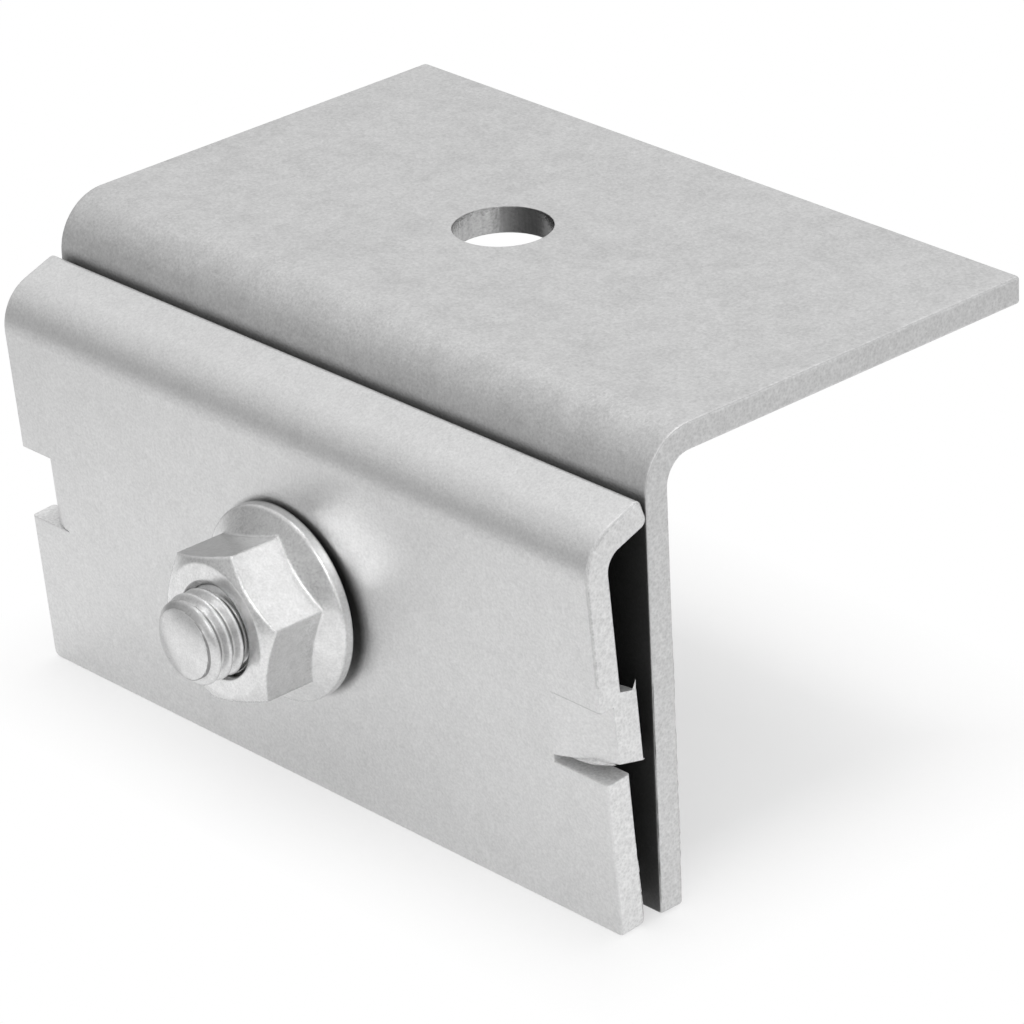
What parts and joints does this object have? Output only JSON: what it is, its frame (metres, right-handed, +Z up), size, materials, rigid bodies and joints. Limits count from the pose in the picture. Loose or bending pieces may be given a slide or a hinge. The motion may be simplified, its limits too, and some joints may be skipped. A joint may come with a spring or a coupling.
{
  "type": "standing seam clamp",
  "caption": "Folded sheet steel angle bracket with a loose clamp plate, drawn up by a carriage bolt and flange nut to grip a metal roof's standing seam and carry a fitting on its flange.",
  "frame": {"origin": "middle of the bracket leg's foot edge, on the leg face that meets the roof seam", "axes": "+X along the fold and the seam, +Y from the seam back under the top flange, +Z up along the fixing hole"},
  "size_m": [0.0752, 0.062, 0.0436],
  "materials": {
    "sheet_steel": "matte, finely grained sheet with sheared edges",
    "fastener_steel": "bright zinc plated, satin"
  },
  "bodies": {
    "bracket": {"angle_bracket": "sheet_steel", "carriage_bolt": "fastener_steel"},
    "plate": {"clamp_plate": "sheet_steel"},
    "nut": {"flange_nut": "fastener_steel"}
  },
  "joints": [
    {"name": "plate_travel", "type": "slide", "parent": "bracket", "child": "plate", "axis": [0, -1, 0], "range_m": [0, 0.01]},
    {"name": "nut_turn", "type": "hinge", "parent": "plate", "child": "nut", "pos_m": [-0.00085, -0.0105, 0.01875], "axis": [0, -1, 0], "range_deg": [0, 2880]}
  ],
  "couplings": [
    {"joint": "nut_turn", "follows": "plate_travel", "rad_per_m": 5026.5}
  ]
}
